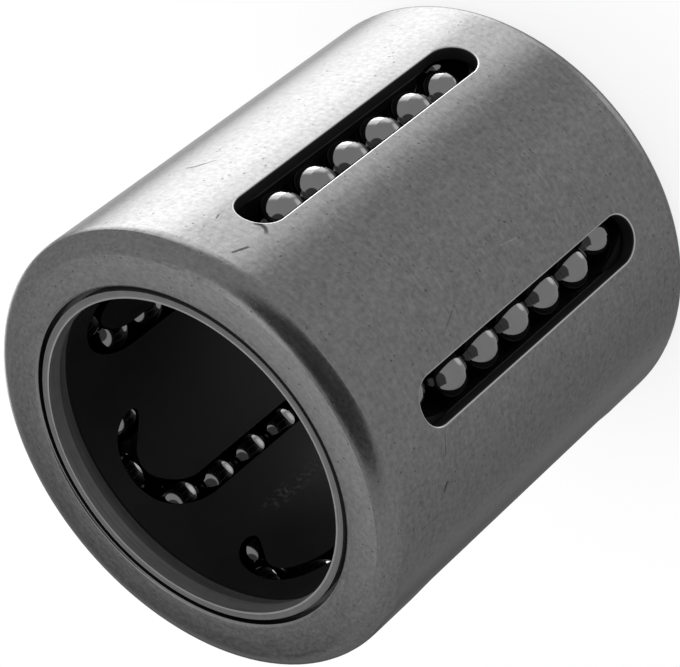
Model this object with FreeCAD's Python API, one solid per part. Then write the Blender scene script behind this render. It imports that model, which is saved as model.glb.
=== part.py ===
import FreeCAD, Part
import math
import os
from collections import namedtuple

from FreeCAD import Vector

# Compact linear ball bearing: a drawn steel sleeve, a moulded cage with closed loops of
# balls, and a steel ring behind each lip. The axis is +Z and the lower end is at Z = 0.

# Main sizes
shaft_diameter = 20.0
length = 30.0
ball_diameter = 3.0
sleeve_wall = 0.94  # at the raceway, and the thickness of the lips

# Sleeve
edge_radius = 1.2  # round outer corner at each end
inner_corner_radius = 0.25
lip_edge_radius = 0.15
raceway_ramp = 1.0  # length of the cone from the raceway to the relief over a turn
slot_grip = 0.1  # a slot is this much narrower than a ball
slot_setback = 0.2  # a slot's end arc is centred this far short of the last turn ball
slot_edge_radius = 0.12

# End rings
collar_wall = 0.4
flange_thickness = 1.0
nose_recess = 0.35  # from the sleeve's end face down to the collar's nose
nose_radius = 0.16

# Ball loops
loop_count = 6
first_loop_angle = 7.2  # from +X round to the first return run
turn_balls = 3  # balls that share each turn evenly
turn_ball_gap = 0.6  # between two balls of a turn
turn_lift = 0.05  # the turns lift the balls this far off the shaft
return_depth = 0.4  # from the sleeve's outside down to the balls of a return run
return_overrun = 0.6  # the return channel runs on this far into each turn
cage_end_wall = 0.48  # between a turn and the cage's end
train_offset = (-0.9, 0.0, 0.6, 0.0, -0.25, -1.0)  # how far each loop's balls have rolled

# Clearances
running_clearance = 0.03  # ball to raceway, and ball to shaft
bore_clearance = 0.15  # cage and rings to shaft
ball_gap = 0.05  # between two balls of a run
channel_clearance = 0.1  # ball to the floor of its channel
return_clearance = 0.16  # the same in a return run
mouth_clearance = 0.05  # ball to the side of its channel's mouth
relief_clearance = 0.1  # turn ball to sleeve
cage_clearance = 0.1  # cage to raceway
groove_width = 0.25  # collar to lip
flange_clearance = 0.05  # flange to the sleeve's inner corner

# Radii and heights that follow
ball_radius = ball_diameter / 2
bore_radius = shaft_diameter / 2 + bore_clearance
load_radius = shaft_diameter / 2 + running_clearance + ball_radius
raceway_radius = load_radius + ball_radius + running_clearance
outer_radius = raceway_radius + sleeve_wall
relief_radius = load_radius + turn_lift + ball_radius + relief_clearance
return_radius = outer_radius - return_depth - ball_radius
cage_radius = raceway_radius - cage_clearance
collar_radius = bore_radius + collar_wall
lip_radius = collar_radius + groove_width
flange_radius = relief_radius - inner_corner_radius - flange_clearance
mid_height = length / 2
cage_end = sleeve_wall + flange_thickness

# A loop is a load run and a return run, joined by two turns
half_share = math.pi / (2 * turn_balls)  # angle from a turn's end to its first ball
turn_radius = (ball_diameter + turn_ball_gap) / (2 * math.sin(half_share))
turn_ball_rise = turn_radius * math.sin(half_share)
channel_radius = ball_radius + channel_clearance
return_channel_radius = ball_radius + return_clearance
mouth_width = ball_diameter + 2 * mouth_clearance
run_length = length - 2 * (cage_end + cage_end_wall + channel_radius + turn_radius)
run_top = mid_height + run_length / 2
run_bottom = mid_height - run_length / 2
ball_pitch = ball_diameter + ball_gap
run_balls = 1 + math.floor((run_length - 2 * (ball_pitch - turn_ball_rise)) / ball_pitch)
run_angle = math.acos((load_radius**2 + return_radius**2 - (2 * turn_radius)**2)
                      / (2 * load_radius * return_radius))
slot_width = ball_diameter - slot_grip
slot_arc_distance = run_length / 2 + turn_ball_rise - slot_setback

origin = Vector(0, 0, 0)
up = Vector(0, 0, 1)
coincident = 1e-6

TurnArc = namedtuple("TurnArc", "start heading centre axis radius angle")


def polar(radius, angle, height):
    return Vector(radius * math.cos(angle), radius * math.sin(angle), height)


def turned_about(axis, angle, vector):
    return FreeCAD.Rotation(axis, math.degrees(angle)).multVec(vector)


def around(shape, number):
    copy = shape.copy()
    copy.rotate(origin, up, first_loop_angle + number * 360 / loop_count)
    return copy


def revolved(outline):
    points = [Vector(radius, 0, height) for radius, height in outline]
    return Part.Face(Part.makePolygon(points + points[:1])).revolve(origin, up, 360)


def rounded(shape, radius, places):
    # Rounds the circles that lie at these places, each a radius and a height
    edges = []
    for edge in shape.Edges:
        point = edge.valueAt(edge.FirstParameter)
        reach = math.hypot(point.x, point.y)
        on_place = any(math.dist((reach, point.z), place) < coincident for place in places)
        if on_place and edge.isClosed():
            edges.append(edge)
    return shape.makeFillet(radius, edges)


def stadium(width, arc_distance, across, centre):
    # Flat face with round ends, long along Z, with arc centres this far from its middle
    top = centre + up * arc_distance
    bottom = centre - up * arc_distance
    side = across * (width / 2)
    crown = up * (width / 2)
    return Part.Face(Part.Wire([
        Part.LineSegment(bottom + side, top + side).toShape(),
        Part.Arc(top + side, top + crown, top - side).toShape(),
        Part.LineSegment(top - side, bottom - side).toShape(),
        Part.Arc(bottom - side, bottom - crown, bottom + side).toShape(),
    ]))


def turn_point(share, end):
    # Ball centre in a turn, from share 0 at the load run to 1 at the return run.
    # The balls stay under the sleeve until they reach the slot, and climb into it last.
    sweep = math.pi * share
    angle = run_angle / 2 * (1 + math.cos(sweep))
    lift = turn_lift * math.sin(min(sweep, math.pi / 2))**2
    climb = max(0, turn_balls * share - (turn_balls - 1))**2
    radius = load_radius + lift + (return_radius - load_radius - turn_lift) * climb
    height = mid_height + end * (run_length / 2 + turn_radius * math.sin(sweep))
    return polar(radius, angle, height)


def turn_arcs(end):
    # The path round the upper turn (end 1) or the lower one (end -1), starting at the
    # load run: one arc for each ball, tangent to the arc before it
    arcs = []
    start = turn_point(0, end)
    heading = up * end
    for place in range(turn_balls):
        finish = turn_point((place + 1) / turn_balls, end)
        chord = finish - start
        axis = heading.cross(chord).normalize()
        inward = axis.cross(heading)
        radius = chord.dot(chord) / (2 * chord.dot(inward))
        angle = 2 * math.atan2(chord.dot(inward), chord.dot(heading))
        arcs.append(TurnArc(start, heading, start + inward * radius, axis, radius, angle))
        heading = turned_about(axis, angle, heading)
        start = finish
    return arcs


def outer_sleeve():
    lip_top = length - sleeve_wall
    body = revolved([
        (lip_radius, 0), (outer_radius, 0), (outer_radius, length), (lip_radius, length),
        (lip_radius, lip_top), (relief_radius, lip_top), (relief_radius, run_top + raceway_ramp),
        (raceway_radius, run_top), (raceway_radius, run_bottom),
        (relief_radius, run_bottom - raceway_ramp), (relief_radius, sleeve_wall), (lip_radius, sleeve_wall),
    ])
    body = rounded(body, edge_radius, [(outer_radius, 0), (outer_radius, length)])
    body = rounded(body, inner_corner_radius, [(relief_radius, sleeve_wall), (relief_radius, lip_top)])
    body = rounded(body, lip_edge_radius, [(lip_radius, 0), (lip_radius, length)])
    outline = stadium(slot_width, slot_arc_distance, Vector(0, 1, 0), Vector(load_radius, 0, mid_height))
    slot = outline.extrude(Vector(outer_radius, 0, 0))
    body = body.cut([around(slot, number) for number in range(loop_count)])
    return body.makeFillet(slot_edge_radius, slot_rims(body))


def slot_rims(body):
    # Edges where the slots break through the sleeve's outside
    reach = slot_arc_distance + slot_width / 2 + coincident
    rims = []
    for edge in body.Edges:
        points = edge.discretize(5)
        outside = all(abs(math.hypot(point.x, point.y) - outer_radius) < slot_edge_radius / 2
                      for point in points)
        if outside and all(abs(point.z - mid_height) < reach for point in points):
            rims.append(edge)
    return rims


def end_ring(end):
    # L section: a collar in the lip's opening, and a flange between the lip and the cage
    nose = mid_height + end * (mid_height - nose_recess)
    lip_side = mid_height + end * (mid_height - sleeve_wall)
    cage_side = mid_height + end * (mid_height - cage_end)
    ring = revolved([
        (bore_radius, nose), (collar_radius, nose), (collar_radius, lip_side),
        (flange_radius, lip_side), (flange_radius, cage_side), (bore_radius, cage_side),
    ])
    return rounded(ring, nose_radius, [(bore_radius, nose), (collar_radius, nose)])


def channel():
    # Room for one loop of balls: the pieces of a tube along their path, and its mouth to the outside
    load_foot = polar(load_radius, run_angle, run_bottom)
    return_foot = polar(return_radius, 0, run_bottom - return_overrun)
    pieces = [
        Part.makeCylinder(channel_radius, run_length, load_foot, up),
        Part.makeCylinder(return_channel_radius, run_length + 2 * return_overrun, return_foot, up),
    ]
    for arc in turn_arcs(1) + turn_arcs(-1):
        disc = Part.Face(Part.Wire(Part.makeCircle(channel_radius, arc.start, arc.heading)))
        pieces.append(disc.revolve(arc.centre, arc.axis, math.degrees(arc.angle)))
    load_side = polar(load_radius, run_angle, mid_height)
    return_side = polar(return_radius, 0, mid_height)
    across = (load_side - return_side).normalize()
    centre = (load_side + return_side) * 0.5
    rim = stadium(2 * turn_radius + mouth_width, run_length / 2, across, centre)
    island = stadium(2 * turn_radius - mouth_width, run_length / 2, across, centre)
    pieces.append(rim.cut(island).extrude(across.cross(up) * outer_radius))
    return pieces


def ball_cage():
    height = length - 2 * cage_end
    foot = Vector(0, 0, cage_end)
    body = Part.makeCylinder(cage_radius, height, foot)
    body = body.cut(Part.makeCylinder(bore_radius, height, foot))
    for piece in channel():
        body = body.cut([around(piece, number) for number in range(loop_count)])
    return body


def run_of_balls(radius, angle, shift):
    first = mid_height + shift - ball_pitch * (run_balls - 1) / 2
    centres = [polar(radius, angle, first + ball_pitch * place) for place in range(run_balls)]
    return Part.makeCompound([Part.makeSphere(ball_radius, centre) for centre in centres])


def turn_ball(arc, shift):
    spoke = turned_about(arc.axis, arc.angle / 2 + shift / arc.radius, arc.start - arc.centre)
    return Part.makeSphere(ball_radius, arc.centre + spoke)


def ball_loop(number):
    prefix = "loop_%d_" % (number + 1)
    shift = train_offset[number % len(train_offset)]
    nodes = {
        prefix + "load_balls": run_of_balls(load_radius, run_angle, shift),
        prefix + "return_balls": run_of_balls(return_radius, 0, -shift),
    }
    for end, word in ((1, "top"), (-1, "bottom")):
        for place, arc in enumerate(turn_arcs(end)):
            nodes[prefix + "%s_turn_ball_%d" % (word, place + 1)] = turn_ball(arc, end * shift)
    return {name: around(shape, number) for name, shape in nodes.items()}


def main():
    nodes = {
        "outer_sleeve": outer_sleeve(),
        "ball_cage": ball_cage(),
        "end_ring_top": end_ring(1),
        "end_ring_bottom": end_ring(-1),
    }
    for number in range(loop_count):
        nodes.update(ball_loop(number))
    os.makedirs("parts", exist_ok=True)
    for name, shape in nodes.items():
        shape.exportStep("parts/%s.step" % name)
    print("%d nodes, outside diameter %.2f mm, runs of %d balls" % (len(nodes), 2 * outer_radius, run_balls))


main()
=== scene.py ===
import math

import bmesh
import bpy
from mathutils import Matrix, Vector


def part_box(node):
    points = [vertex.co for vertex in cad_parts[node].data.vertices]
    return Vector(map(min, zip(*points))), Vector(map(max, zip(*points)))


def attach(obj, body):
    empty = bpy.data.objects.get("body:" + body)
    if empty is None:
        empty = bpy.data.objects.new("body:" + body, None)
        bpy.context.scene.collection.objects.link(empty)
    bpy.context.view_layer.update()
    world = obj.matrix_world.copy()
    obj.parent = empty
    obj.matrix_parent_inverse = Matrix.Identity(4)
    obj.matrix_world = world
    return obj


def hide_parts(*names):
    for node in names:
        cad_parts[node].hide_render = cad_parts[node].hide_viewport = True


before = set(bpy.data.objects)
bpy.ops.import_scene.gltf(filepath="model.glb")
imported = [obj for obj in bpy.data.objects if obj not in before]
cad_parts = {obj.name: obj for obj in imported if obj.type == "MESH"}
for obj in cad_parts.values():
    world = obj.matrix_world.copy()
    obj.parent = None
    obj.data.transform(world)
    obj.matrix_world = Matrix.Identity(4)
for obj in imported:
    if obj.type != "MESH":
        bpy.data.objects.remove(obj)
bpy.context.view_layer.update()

bpy.ops.object.select_all(action='DESELECT')
mm = 0.001
sleeveLow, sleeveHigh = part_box("outer_sleeve")
sleeveRadius = (sleeveHigh.x - sleeveLow.x) / 2 / mm  # in mm, as all sizes below are
sleeveLength = (sleeveHigh.z - sleeveLow.z) / mm
middle = Vector((0, 0, sleeveLength / 2 * mm))
runLow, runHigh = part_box("loop_1_return_balls")
firstSlot = math.atan2(runLow.y + runHigh.y, runLow.x + runHigh.x)  # the first slot's azimuth
loopCount = sum(name.endswith("_return_balls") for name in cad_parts)
print("frame loaded,", len(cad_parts), "nodes,", loopCount, "ball loops")


class Wire:  # a node's output, ready for sums
    def __init__(self, finish, socket):
        self.finish = finish
        self.socket = socket

    def sum(self, operation, first, second=0.0, third=0.0):
        return self.finish.node("ShaderNodeMath", {"operation": operation}, {0: first, 1: second, 2: third})

    def __add__(self, other):
        return self.sum("ADD", self, other)

    def __radd__(self, other):
        return self.sum("ADD", other, self)

    def __sub__(self, other):
        return self.sum("SUBTRACT", self, other)

    def __rsub__(self, other):
        return self.sum("SUBTRACT", other, self)

    def __mul__(self, other):
        return self.sum("MULTIPLY", self, other)

    def __rmul__(self, other):
        return self.sum("MULTIPLY", other, self)

    def __abs__(self):
        return self.sum("ABSOLUTE", self)

    def root(self):
        return self.sum("SQRT", self)

    def sine(self):
        return self.sum("SINE", self)

    def atLeast(self, low):
        return self.sum("MAXIMUM", self, low)

    def atMost(self, high):
        return self.sum("MINIMUM", self, high)

    def wrapped(self, half):  # into -half to half
        return self.sum("WRAP", self, half, -half)

    def angleFrom(self, x):  # atan2 with this as y
        return self.sum("ARCTAN2", self, x)

    def out(self, name):  # another output of the same node
        return Wire(self.finish, self.socket.node.outputs[name])


class Finish:  # one node tree, of a material or of the world
    def __init__(self, tree):
        self.tree = tree
        tree.nodes.clear()

    def node(self, kind, settings=None, inputs=None, output=0):
        made = self.tree.nodes.new(kind)
        for name, value in (settings or {}).items():
            setattr(made, name, value)
        for name, value in (inputs or {}).items():
            if isinstance(value, Wire):
                self.tree.links.new(value.socket, made.inputs[name])
            else:
                made.inputs[name].default_value = value
        return Wire(self, made.outputs[output]) if len(made.outputs) else made

    def step(self, value, low, high):  # 0 below low, 1 above high, smooth between
        return self.node("ShaderNodeMapRange", {"interpolation_type": 'SMOOTHSTEP'},
                         {"Value": value, "From Min": low, "From Max": high})

    def blend(self, amount, first, second):  # first where amount is 0, second where it is 1
        return self.node("ShaderNodeMix", {}, {"Factor": amount, "A": first, "B": second})

    def join(self, x, y, z):
        return self.node("ShaderNodeCombineXYZ", {}, {"X": x, "Y": y, "Z": z})

    def noise(self, vector, scale, detail, roughness):  # shifted to lie about 0
        inputs = {"Vector": vector, "Scale": scale, "Detail": detail, "Roughness": roughness}
        return self.node("ShaderNodeTexNoise", {}, inputs) - 0.5

    def grey(self, level):
        return self.node("ShaderNodeCombineColor", {}, {0: level, 1: level, 2: level})

    def bump(self, height):
        return self.node("ShaderNodeBump", {}, {"Strength": 1.0, "Distance": mm, "Height": height})

    def surface(self, settings):
        shader = self.node("ShaderNodeBsdfPrincipled", {}, settings)
        self.node("ShaderNodeOutputMaterial", {}, {"Surface": shader})


def newMaterial(name):
    material = bpy.data.materials.new(name)
    material.use_nodes = True
    return material, Finish(material.node_tree)


def latheCoordinates(finish):  # place on the bearing, azimuth in radians
    place = finish.node("ShaderNodeTexCoord", {}, {}, "Object")
    parts = finish.node("ShaderNodeSeparateXYZ", {}, {"Vector": place})
    x, y, z = (parts.out(axis) * (1 / mm) for axis in "XYZ")
    radius = (x * x + y * y).root()
    return dict(x=x, y=y, z=z, spot=finish.join(x, y, z), radius=radius, azimuth=y.angleFrom(x),
                fromMiddle=abs(z - sleeveLength / 2))


# Sleeve: hardened steel, ground round about; painted shade darkens the slot walls, a paler foot on them is
# painted light, and brighter slot rims are a painted highlight
sleeveSteel = dict(
    grey=0.128, roughness=0.22, edgeTint=0.55,
    crownStart=11.0, crownRadius=18.0,  # the end face falls away a little to its edge
    edgeRadius=1.2, flatMiddle=68, flatSpan=46, flatness=0.377,  # flatter part of the edge, in degrees
    cloudSize=0.3, cloud=1.0, cloudRough=0.16, cloudDepth=0.0016,
    lineSize=0.2, lineLength=1.0, lines=0.45, lineRough=0.1, lineDepth=0.0014,
    pitSpacing=0.5, pitBlend=(0.04, 0.1), pitShare=(0.62, 0.67), pits=0.42,
    slotHalfWidth=1.45, slotHalfRun=8.98,
    # painted shade: a near-black grey on the slot walls, standing in for the shade inside the slots
    shadedWallGrey=0.03, wallRough=0.6, shadedWallBlend=(0.01, 0.05),
    litFootGrey=0.12, litFootBlend=(13.144, 13.2),  # painted light: a paler foot of the slot's wall, standing in for a lit line along it
    # painted highlight: a brighter grey on the slot rims, standing in for light caught by the edge
    highlightRimGrey=0.34, rimRough=0.2, highlightRimBlend=(0.077, 0.132),
    lipGrey=0.17, lipBlend=(10.84, 10.92),
    markRough=0.2, markDepth=0.008,
)
sleeveMarks = dict(
    strokeCore=0.3, spotCore=0.2, spotReach=0.7, darkest=0.85,
    strokes=[  # scratches: ends as azimuth in degrees and height, width, darkness
        dict(start=(-55.5, 25.5), end=(-57, 25.3), width=0.32, dark=0.75),
        dict(start=(-57, 25.3), end=(-58.5, 25.4), width=0.36, dark=0.75),
        dict(start=(-58.5, 25.4), end=(-59.5, 25.7), width=0.34, dark=0.6),
        dict(start=(-58, 28.2), end=(-59.5, 27.2), width=0.22, dark=0.65),
        dict(start=(-25, 22.2), end=(-27.5, 22), width=0.22, dark=0.6),
        dict(start=(-27.5, 22), end=(-29, 21.6), width=0.24, dark=0.65),
        dict(start=(-29, 21.6), end=(-31, 21.2), width=0.14, dark=0.5),
        dict(start=(-47.5, 26), end=(-48, 26.4), width=0.16, dark=0.6),
        dict(start=(-120.5, 24.4), end=(-125, 24.8), width=0.1, dark=0.4),
        dict(start=(-131.5, 25), end=(-133.5, 25.4), width=0.17, dark=0.8),
        dict(start=(-138, 25.6), end=(-138, 27.5), width=0.1, dark=0.4),
        dict(start=(-102, 21.6), end=(-99, 20.1), width=0.1, dark=0.4),
        dict(start=(-82.5, 8.2), end=(-84.5, 8.2), width=0.12, dark=0.35),
        dict(start=(-95, 14.6), end=(-96, 13.3), width=0.09, dark=-0.4),
    ],
    spots=[  # dents: azimuth in degrees and height, size, darkness
        dict(place=(-92, 21), size=0.2, dark=0.5),
        dict(place=(-91.5, 13.3), size=0.16, dark=0.6),
        dict(place=(-24.5, 14.6), size=0.15, dark=0.5),
        dict(place=(-27.5, 19.9), size=0.17, dark=0.5),
        dict(place=(-44, 20.8), size=0.15, dark=0.5),
        dict(place=(-35.5, 21.3), size=0.2, dark=0.35),
        dict(place=(-33.5, 27.4), size=0.17, dark=0.45),
        dict(place=(-30, 27.5), size=0.15, dark=0.45),
        dict(place=(-89.5, 11.1), size=0.18, dark=0.35),
        dict(place=(-66, 26.5), size=0.17, dark=0.5),
    ],
)


def onSleeve(place):  # azimuth in degrees and height, as arc and height
    return math.radians(place[0]) * sleeveRadius, place[1]


def strokeMask(finish, arc, height, stroke, core):  # 1 on the scratch, 0 off it
    startArc, startHeight = onSleeve(stroke["start"])
    endArc, endHeight = onSleeve(stroke["end"])
    length = math.hypot(endArc - startArc, endHeight - startHeight)
    turn = (endArc - startArc) / length
    rise = (endHeight - startHeight) / length
    arc = arc - startArc
    height = height - startHeight
    along = arc * turn + height * rise
    across = abs(arc * rise - height * turn)
    half = stroke["width"] / 2
    ends = finish.step(along, -half, half) * (1 - finish.step(along, length - half, length + half))
    return ends * (1 - finish.step(across, half * core, half))


def spotMask(finish, arc, height, spot, core, reach):  # 1 in the dent, 0 off it
    spotArc, spotHeight = onSleeve(spot["place"])
    arc = arc - spotArc
    height = height - spotHeight
    away = (arc * arc + height * height).root()
    return 1 - finish.step(away, spot["size"] * core, spot["size"] * reach)


def markMask(finish, place, look):  # all scratches and dents, by darkness
    arc = place["azimuth"] * sleeveRadius
    height = place["z"]
    total = 0.0
    for stroke in look["strokes"]:
        scratch = strokeMask(finish, arc, height, stroke, look["strokeCore"])
        total = scratch * stroke["dark"] + total
    for spot in look["spots"]:
        dent = spotMask(finish, arc, height, spot, look["spotCore"], look["spotReach"])
        total = dent * spot["dark"] + total
    return total.atMost(look["darkest"])


def slotDistance(place, look):  # from the nearest slot's wall, outwards
    turn = (place["azimuth"] - firstSlot).wrapped(math.pi / loopCount)
    across = place["radius"] * turn.sine()
    beyond = (place["fromMiddle"] - look["slotHalfRun"]).atLeast(0.0)
    return (beyond * beyond + across * across).root() - look["slotHalfWidth"]


def pitMask(finish, skin, look):  # small pits, in a share of the cells
    cells = finish.node("ShaderNodeTexVoronoi", {}, {"Vector": skin, "Scale": 1 / look["pitSpacing"]})
    chance = finish.node("ShaderNodeSeparateColor", {}, {"Color": cells.out("Color")})
    pitted = finish.step(chance, *look["pitShare"])
    return pitted * (1 - finish.step(cells * look["pitSpacing"], *look["pitBlend"]))


def edgeForm(place, look):  # the slight crown of the end face and the flatter part of the edge
    fall = (place["radius"] - look["crownStart"]).atLeast(0.0)
    crown = fall * fall * (0.5 / look["crownRadius"])
    inset = look["edgeRadius"]
    outward = (place["radius"] - (sleeveRadius - inset)).atLeast(0.0)
    turned = (place["fromMiddle"] - (sleeveLength / 2 - inset)).atLeast(0.0).angleFrom(outward)
    bend = abs(turned - math.radians(look["flatMiddle"])).atMost(math.radians(look["flatSpan"]))
    return bend * bend * (0.5 * look["flatness"] * inset) - crown


def makeSleeveSteel(look, marksLook):
    material, finish = newMaterial("groundSleeveSteel")
    place = latheCoordinates(finish)
    x, y, radius = place["x"], place["y"], place["radius"]
    along = place["fromMiddle"] - radius  # runs on over the rounded edge and the end face
    skin = finish.join(x, y, along)
    stretch = look["lineSize"] / look["lineLength"]
    drawn = finish.join(x * stretch, y * stretch, along)
    cloud = finish.noise(skin, 1 / look["cloudSize"], detail=4.0, roughness=0.65)
    streak = finish.noise(drawn, 1 / look["lineSize"], detail=3.0, roughness=0.6)
    fromSlot = slotDistance(place, look)
    # painted shade: mask of the slot walls, which get a near-black grey in place of the shade inside the
    # slots
    shadedWall = 1 - finish.step(fromSlot, *look["shadedWallBlend"])
    # painted highlight: mask of the slot rims, which get a brighter grey in place of the light caught by
    # the edge
    highlightRim = (1 - finish.step(fromSlot, *look["highlightRimBlend"])) * (1 - shadedWall)
    lip = 1 - finish.step(radius, *look["lipBlend"])
    # painted light: a paler band at the foot of the slot walls, standing in for a lit line there
    litFoot = 1 - finish.step(radius, *look["litFootBlend"])
    pits = pitMask(finish, skin, look) * look["pits"]
    marks = (markMask(finish, place, marksLook) + pits) * (1 - shadedWall)
    grain = 1 + cloud * look["cloud"] + streak * look["lines"]
    tone = finish.blend(highlightRim, grain * look["grey"] * (1 - marks), look["highlightRimGrey"])
    tone = finish.blend(lip, tone, look["lipGrey"])
    tone = finish.blend(shadedWall, tone, finish.blend(litFoot, look["shadedWallGrey"], look["litFootGrey"]))
    rough = look["roughness"] + cloud * look["cloudRough"] + streak * look["lineRough"]
    rough = finish.blend(highlightRim, rough + marks * look["markRough"], look["rimRough"])
    rough = finish.blend(shadedWall, rough, look["wallRough"])
    height = cloud * look["cloudDepth"] + streak * look["lineDepth"] - marks * look["markDepth"]
    bump = finish.bump(height + edgeForm(place, look))
    tint = (look["edgeTint"],) * 3 + (1,)
    finish.surface({"Base Color": finish.grey(tone), "Metallic": 1.0, "Roughness": rough, "Normal": bump,
                    "Specular Tint": tint})
    return material


# End rings: pressed steel, dull and darker on the outer half, where the darker grey is also painted shade
# in the undercut below the hem, and bright at the inner rim
ringSteel = dict(
    # the darker outer grey is partly a dull finish and partly painted shade in the undercut below the hem
    grey=0.23, dullAndShadedGrey=0.12, metal=0.6, roughness=0.38, dullRough=0.12, dullAndShadedBlend=(10.13, 10.19),
    lineStretch=0.15, lineRate=7.0, lines=0.9, lineRough=0.15, lineDepth=0.004,
    cloudRate=1.2, cloud=0.4,
)


def makeRingSteel(look):
    material, finish = newMaterial("pressedRingSteel")
    place = latheCoordinates(finish)
    stretch = look["lineStretch"]
    across = (place["z"] + place["radius"]) * look["lineRate"]
    drawn = finish.join(place["x"] * stretch, place["y"] * stretch, across)
    streak = finish.noise(drawn, 1.0, detail=3.0, roughness=0.6)
    cloud = finish.noise(place["spot"], look["cloudRate"], detail=3.0, roughness=0.6)
    # mask of the outer half: dull finish, and painted shade in the undercut below the hem
    dullAndShaded = finish.step(place["radius"], *look["dullAndShadedBlend"])
    grain = 1 + streak * look["lines"] + cloud * look["cloud"]
    tone = finish.blend(dullAndShaded, look["grey"], look["dullAndShadedGrey"]) * grain
    rough = look["roughness"] + streak * look["lineRough"] + dullAndShaded * look["dullRough"]
    bump = finish.bump(streak * look["lineDepth"])
    finish.surface({"Base Color": finish.grey(tone), "Metallic": look["metal"], "Roughness": rough,
                    "Normal": bump})
    return material


# Cage: black moulded plastic with a faint grained skin, scuffed along one line in its bore
cagePlastic = dict(
    grey=0.009, roughness=0.45, gloss=0.18,
    poreRate=5.0, pores=0.6, poreRough=0.25, poreDepth=0.004,
    flowRate=0.5, flow=0.6, flowRough=0.2,
    boreRadius=10.15, boreBlend=(10.2, 10.35),
    scuffGrey=0.17, scuffAzimuth=123.5, scuffHeight=18.6, scuffSide=(0.0, 0.8), scuffEnd=(1.0, 3.75),
    fleckRate=2.5, fleckShare=(-0.02, 0.18),
)


def scuffMask(finish, place, look):  # flecks along the scuffed line
    turn = (place["azimuth"] - math.radians(look["scuffAzimuth"])).wrapped(math.pi)
    side = abs(turn) * look["boreRadius"]
    end = abs(place["z"] - look["scuffHeight"])
    line = (1 - finish.step(side, *look["scuffSide"])) * (1 - finish.step(end, *look["scuffEnd"]))
    inBore = 1 - finish.step(place["radius"], *look["boreBlend"])
    flecks = finish.noise(place["spot"], look["fleckRate"], detail=4.0, roughness=0.7)
    return line * inBore * finish.step(flecks, *look["fleckShare"])


def makeCagePlastic(look):
    material, finish = newMaterial("blackCagePlastic")
    place = latheCoordinates(finish)
    pores = finish.noise(place["spot"], look["poreRate"], detail=3.0, roughness=0.6)
    flow = finish.noise(place["spot"], look["flowRate"], detail=3.0, roughness=0.55)
    tone = look["grey"] * (1 + pores * look["pores"] + flow * look["flow"])
    tone = tone + scuffMask(finish, place, look) * look["scuffGrey"]
    rough = look["roughness"] + pores * look["poreRough"] + flow * look["flowRough"]
    bump = finish.bump(pores * look["poreDepth"])
    finish.surface({"Base Color": finish.grey(tone), "Roughness": rough, "Normal": bump,
                    "Specular IOR Level": look["gloss"]})
    return material


# Balls: polished steel
ballSteel = dict(grey=0.15, roughness=0.06, hazeRate=1.2, haze=0.2, hazeRough=0.06, fineRate=9.0, fine=0.1)


def makeBallSteel(look):
    material, finish = newMaterial("polishedBallSteel")
    place = latheCoordinates(finish)
    haze = finish.noise(place["spot"], look["hazeRate"], detail=4.0, roughness=0.6)
    fine = finish.noise(place["spot"], look["fineRate"], detail=2.0, roughness=0.6)
    tone = look["grey"] * (1 + haze * look["haze"] + fine * look["fine"])
    rough = look["roughness"] + haze * look["hazeRough"]
    finish.surface({"Base Color": finish.grey(tone), "Metallic": 1.0, "Roughness": rough})
    return material


ringFinish = makeRingSteel(ringSteel)
ballFinish = makeBallSteel(ballSteel)
finishes = {
    "outer_sleeve": makeSleeveSteel(sleeveSteel, sleeveMarks),
    "end_ring_top": ringFinish,
    "end_ring_bottom": ringFinish,
    "ball_cage": makeCagePlastic(cagePlastic),
}
for name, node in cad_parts.items():
    for slot in node.material_slots:
        slot.material = finishes.get(name, ballFinish)
print("finishes set")

# End ring: pressed steel, its hem turned into the bore; radii and heights
ringShape = dict(
    flange=12.88, flangeLow=28.06, flangeHigh=29.06, neck=10.52, noseHigh=29.88,
    bore=10.05, hemLow=28.95, undercut=10.38, edge=0.12, edgeSteps=4,
    sides=192, merge=0.01, smoothAngle=40,
)


def pickFace(piece, way, facing=0.9):  # the flat end that faces up or down
    shape = bmesh.from_edit_mesh(piece.data)
    bpy.ops.mesh.select_all(action='DESELECT')
    for face in shape.faces:
        face.select_set(face.normal.z * way > facing)
    bmesh.update_edit_mesh(piece.data)


def pickEdges(piece, rings, near=0.03):  # the round edges with these radii and heights
    shape = bmesh.from_edit_mesh(piece.data)
    bpy.ops.mesh.select_all(action='DESELECT')
    for edge in shape.edges:
        spots = [(corner.co.xy.length / mm, corner.co.z / mm) for corner in edge.verts]
        edge.select_set(any(all(math.dist(spot, ring) < near for spot in spots) for ring in rings))
    bmesh.update_edit_mesh(piece.data)


def narrow(width, rise=0.0):  # insets the picked face, then moves a new one up or down
    bpy.ops.mesh.inset(thickness=width * mm)
    if rise:
        bpy.ops.mesh.extrude_region_move(TRANSFORM_OT_translate={"value": (0, 0, rise * mm)})


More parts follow.
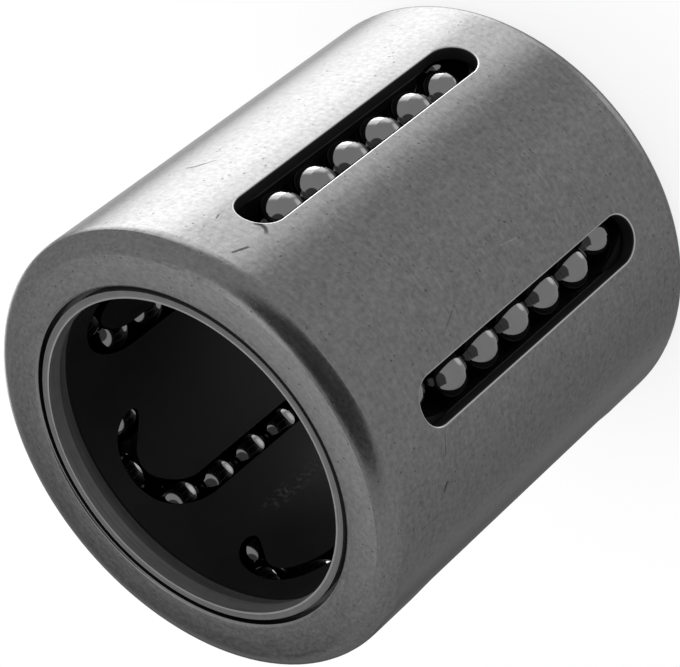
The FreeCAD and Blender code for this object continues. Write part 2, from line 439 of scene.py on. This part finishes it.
def addRing(look):
    height = look["flangeHigh"] - look["flangeLow"]
    bpy.ops.mesh.primitive_cylinder_add(
        vertices=look["sides"], radius=look["flange"] * mm, depth=height * mm,
        location=(0, 0, (look["flangeLow"] + height / 2) * mm))
    piece = bpy.context.object
    bpy.ops.object.transform_apply()
    bpy.ops.object.mode_set(mode='EDIT')
    pickFace(piece, 1)
    narrow(look["flange"] - look["neck"], look["noseHigh"] - look["flangeHigh"])
    narrow(look["neck"] - look["bore"], look["hemLow"] - look["noseHigh"])
    bpy.ops.mesh.delete(type='ONLY_FACE')
    pickFace(piece, -1)
    narrow(look["flange"] - look["undercut"], look["hemLow"] - look["flangeLow"])
    narrow(look["undercut"] - look["bore"])
    bpy.ops.mesh.delete(type='ONLY_FACE')
    bpy.ops.mesh.select_all(action='SELECT')
    bpy.ops.mesh.remove_doubles(threshold=look["merge"] * mm)
    bpy.ops.mesh.normals_make_consistent(inside=False)
    pickEdges(piece, [(look["bore"], look["noseHigh"]), (look["neck"], look["noseHigh"]),
                      (look["bore"], look["hemLow"])])
    bpy.ops.mesh.bevel(offset=look["edge"] * mm, segments=look["edgeSteps"], affect='EDGES')
    bpy.ops.object.mode_set(mode='OBJECT')
    bpy.ops.object.shade_smooth_by_angle(angle=math.radians(look["smoothAngle"]))
    piece.data.materials.append(ringFinish)
    return piece


def placeRing(piece, name, node):
    piece.name = name
    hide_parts(node)
    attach(piece, "housing")


upperRing = addRing(ringShape)
bpy.ops.object.duplicate()
lowerRing = bpy.context.object
bpy.ops.transform.rotate(value=math.pi, orient_axis='X', center_override=middle)
bpy.ops.object.transform_apply()
placeRing(upperRing, "endRingTop", "end_ring_top")
placeRing(lowerRing, "endRingBottom", "end_ring_bottom")
print("end rings made")

# Camera: angles in degrees, distances from the bearing's middle
view = dict(
    azimuth=-87.33, elevation=40.07, roll=-129.58, distance=174.51, right=-0.448, up=-0.363,
    lens=158.85, near=1.0,
)


def direction(azimuth, elevation):  # unit vector from angles in degrees
    azimuth, elevation = math.radians(azimuth), math.radians(elevation)
    level = math.cos(elevation)
    return Vector((level * math.cos(azimuth), level * math.sin(azimuth), math.sin(elevation)))


def addCamera(look):
    back = direction(look["azimuth"], look["elevation"])
    level = Vector((0, 0, 1)).cross(back).normalized()
    roll = math.radians(look["roll"])
    right = level * math.cos(roll) + back.cross(level) * math.sin(roll)
    up = back.cross(right)
    place = middle + (back * look["distance"] + right * look["right"] + up * look["up"]) * mm
    data = bpy.data.cameras.new("camera")
    data.sensor_fit = 'HORIZONTAL'
    data.lens = look["lens"]
    data.clip_start = look["near"] * mm
    camera = bpy.data.objects.new("camera", data)
    camera.matrix_world = Matrix.Translation(place) @ Matrix((right, up, back)).transposed().to_4x4()
    bpy.context.scene.collection.objects.link(camera)
    bpy.context.scene.camera = camera


addCamera(view)
print("camera set")

# Floor: a white sweep that takes a soft shadow; its size in metres
floorLook = dict(size=3.0, glow=0.8, grey=0.28)


def addFloor(look):
    bpy.ops.mesh.primitive_plane_add(size=look["size"])
    floor = bpy.context.object
    floor.name = "floor"
    floor.visible_glossy = False
    floor.visible_shadow = False
    material, finish = newMaterial("whiteFloor")
    seen = finish.node("ShaderNodeLightPath", {}, {}, "Is Camera Ray")
    matt = finish.node("ShaderNodeBsdfDiffuse", {}, {"Color": (look["grey"],) * 3 + (1,)})
    glow = finish.node("ShaderNodeEmission", {}, {"Color": finish.grey(seen), "Strength": look["glow"]})
    both = finish.node("ShaderNodeAddShader", {}, {0: matt, 1: glow})
    finish.node("ShaderNodeOutputMaterial", {}, {"Surface": both})
    floor.data.materials.append(material)


addFloor(floorLook)
print("floor laid")

# Studio: white all round, with soft lights and dark cards; azimuth from the camera's, all in degrees
studio = dict(
    level=1.0, darkest=0.14,
    patches=[
        dict(azimuth=116, elevation=-42, reach=17, edge=17, level=4.7),  # key light
        dict(azimuth=90, elevation=-40, reach=26, edge=22, level=2.9),  # spill round the key light
        dict(azimuth=159, elevation=-20, reach=10, edge=8, level=4.0),  # back light
        dict(azimuth=2, elevation=-67, reach=12, edge=14, level=1.3),  # seen through the bore, in the balls
        dict(azimuth=140, elevation=74, reach=12, edge=8, level=1.2),  # roof light
        dict(azimuth=180, elevation=54, reach=13, edge=20, level=0.6),  # overhead light, for the end face
        dict(azimuth=-170, elevation=22, reach=14, edge=18, level=-0.55),  # card that shades the end face
        dict(azimuth=-14, elevation=62, reach=33, edge=5, level=-0.82),  # card over the camera
        dict(azimuth=-60, elevation=80, reach=20, edge=6, level=-0.7),  # card at the top
        dict(azimuth=-128, elevation=-18, reach=46, edge=30, level=-0.17),  # card on the right
        dict(azimuth=-163, elevation=-30, reach=18, edge=14, level=-0.55),  # low card
    ],
)


def makeStudio(look):
    world = bpy.data.worlds.new("studio")
    bpy.context.scene.world = world
    world.use_nodes = True
    finish = Finish(world.node_tree)
    way = finish.node("ShaderNodeTexCoord", {}, {}, "Generated")
    light = look["level"]
    for patch in look["patches"]:
        centre = direction(view["azimuth"] + patch["azimuth"], patch["elevation"])
        facing = finish.node("ShaderNodeVectorMath", {"operation": 'DOT_PRODUCT'},
                             {0: way, 1: centre}, "Value")
        outer = math.cos(math.radians(patch["reach"] + patch["edge"] / 2))
        inner = math.cos(math.radians(patch["reach"] - patch["edge"] / 2))
        light = finish.step(facing, outer, inner) * patch["level"] + light
    seen = finish.node("ShaderNodeLightPath", {}, {}, "Is Camera Ray")
    light = finish.blend(seen, light.atLeast(look["darkest"]), 1.0)
    back = finish.node("ShaderNodeBackground", {}, {"Color": finish.grey(light), "Strength": 1.0})
    finish.node("ShaderNodeOutputWorld", {}, {"Surface": back})


makeStudio(studio)
bpy.context.scene.view_settings.view_transform = 'Standard'
print("studio set")
